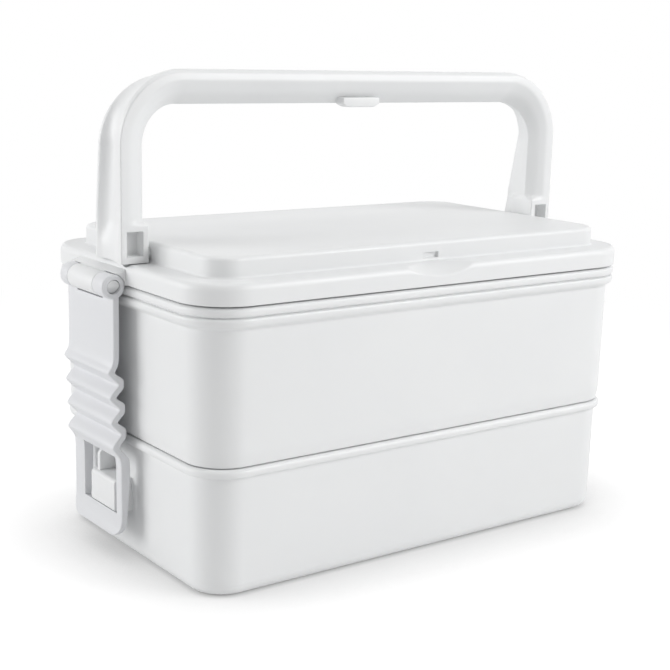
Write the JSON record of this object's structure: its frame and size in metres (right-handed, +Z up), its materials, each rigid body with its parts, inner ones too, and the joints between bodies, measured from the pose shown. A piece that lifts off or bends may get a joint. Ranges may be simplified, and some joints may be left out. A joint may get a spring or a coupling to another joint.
{
  "type": "lunch box",
  "caption": "Two stacked rectangular food boxes under a domed lid, with a fold-down carrying handle and corrugated end latches that hook under catches.",
  "frame": {"origin": "centre of the footprint on the surface that the box stands on", "axes": "+X along the long side to the right, -Y towards the front, +Z up"},
  "size_m": [0.2182, 0.1204, 0.1763],
  "materials": {
    "white_plastic": "satin moulded polypropylene",
    "milky_plastic": "smooth milky plastic",
    "silicone": "soft translucent silicone"
  },
  "bodies": {
    "base": {"lower_box": "white_plastic"},
    "middle": {"middle_lid": "milky_plastic", "middle_lid_seal": "silicone"},
    "upper": {"upper_box": "white_plastic"},
    "cover": {"lid": "white_plastic", "lid_seal": "silicone"},
    "carrying_handle": {"handle": "white_plastic"},
    "latch_left": {"left_latch": "white_plastic"},
    "latch_right": {"right_latch": "white_plastic"}
  },
  "joints": [
    {"name": "lid_lift", "type": "slide", "parent": "base", "child": "cover", "axis": [0, 0, 1], "range_m": [0, 0.03]},
    {"name": "upper_box_lift", "type": "slide", "parent": "base", "child": "upper", "axis": [0, 0, 1], "range_m": [0, 0.0181]},
    {"name": "middle_lid_lift", "type": "slide", "parent": "base", "child": "middle", "axis": [0, 0, 1], "range_m": [0, 0.0076]},
    {"name": "handle_fold", "type": "hinge", "parent": "cover", "child": "carrying_handle", "pos_m": [0, -0.006, 0.1129], "axis": [1, 0, 0], "range_deg": [0, 90]},
    {"name": "left_latch_swing", "type": "hinge", "parent": "cover", "child": "latch_left", "pos_m": [-0.1047, 0.0111, 0.10195], "axis": [0, 1, 0], "range_deg": [0, 140]},
    {"name": "right_latch_swing", "type": "hinge", "parent": "cover", "child": "latch_right", "pos_m": [0.1047, -0.0111, 0.10195], "axis": [0, -1, 0], "range_deg": [0, 140]}
  ],
  "couplings": [
    {"joint": "left_latch_swing", "follows": "lid_lift", "rad_per_m": 81.4},
    {"joint": "right_latch_swing", "follows": "lid_lift", "rad_per_m": 81.4},
    {"joint": "upper_box_lift", "follows": "lid_lift", "ratio": 0.6},
    {"joint": "middle_lid_lift", "follows": "lid_lift", "ratio": 0.25}
  ]
}
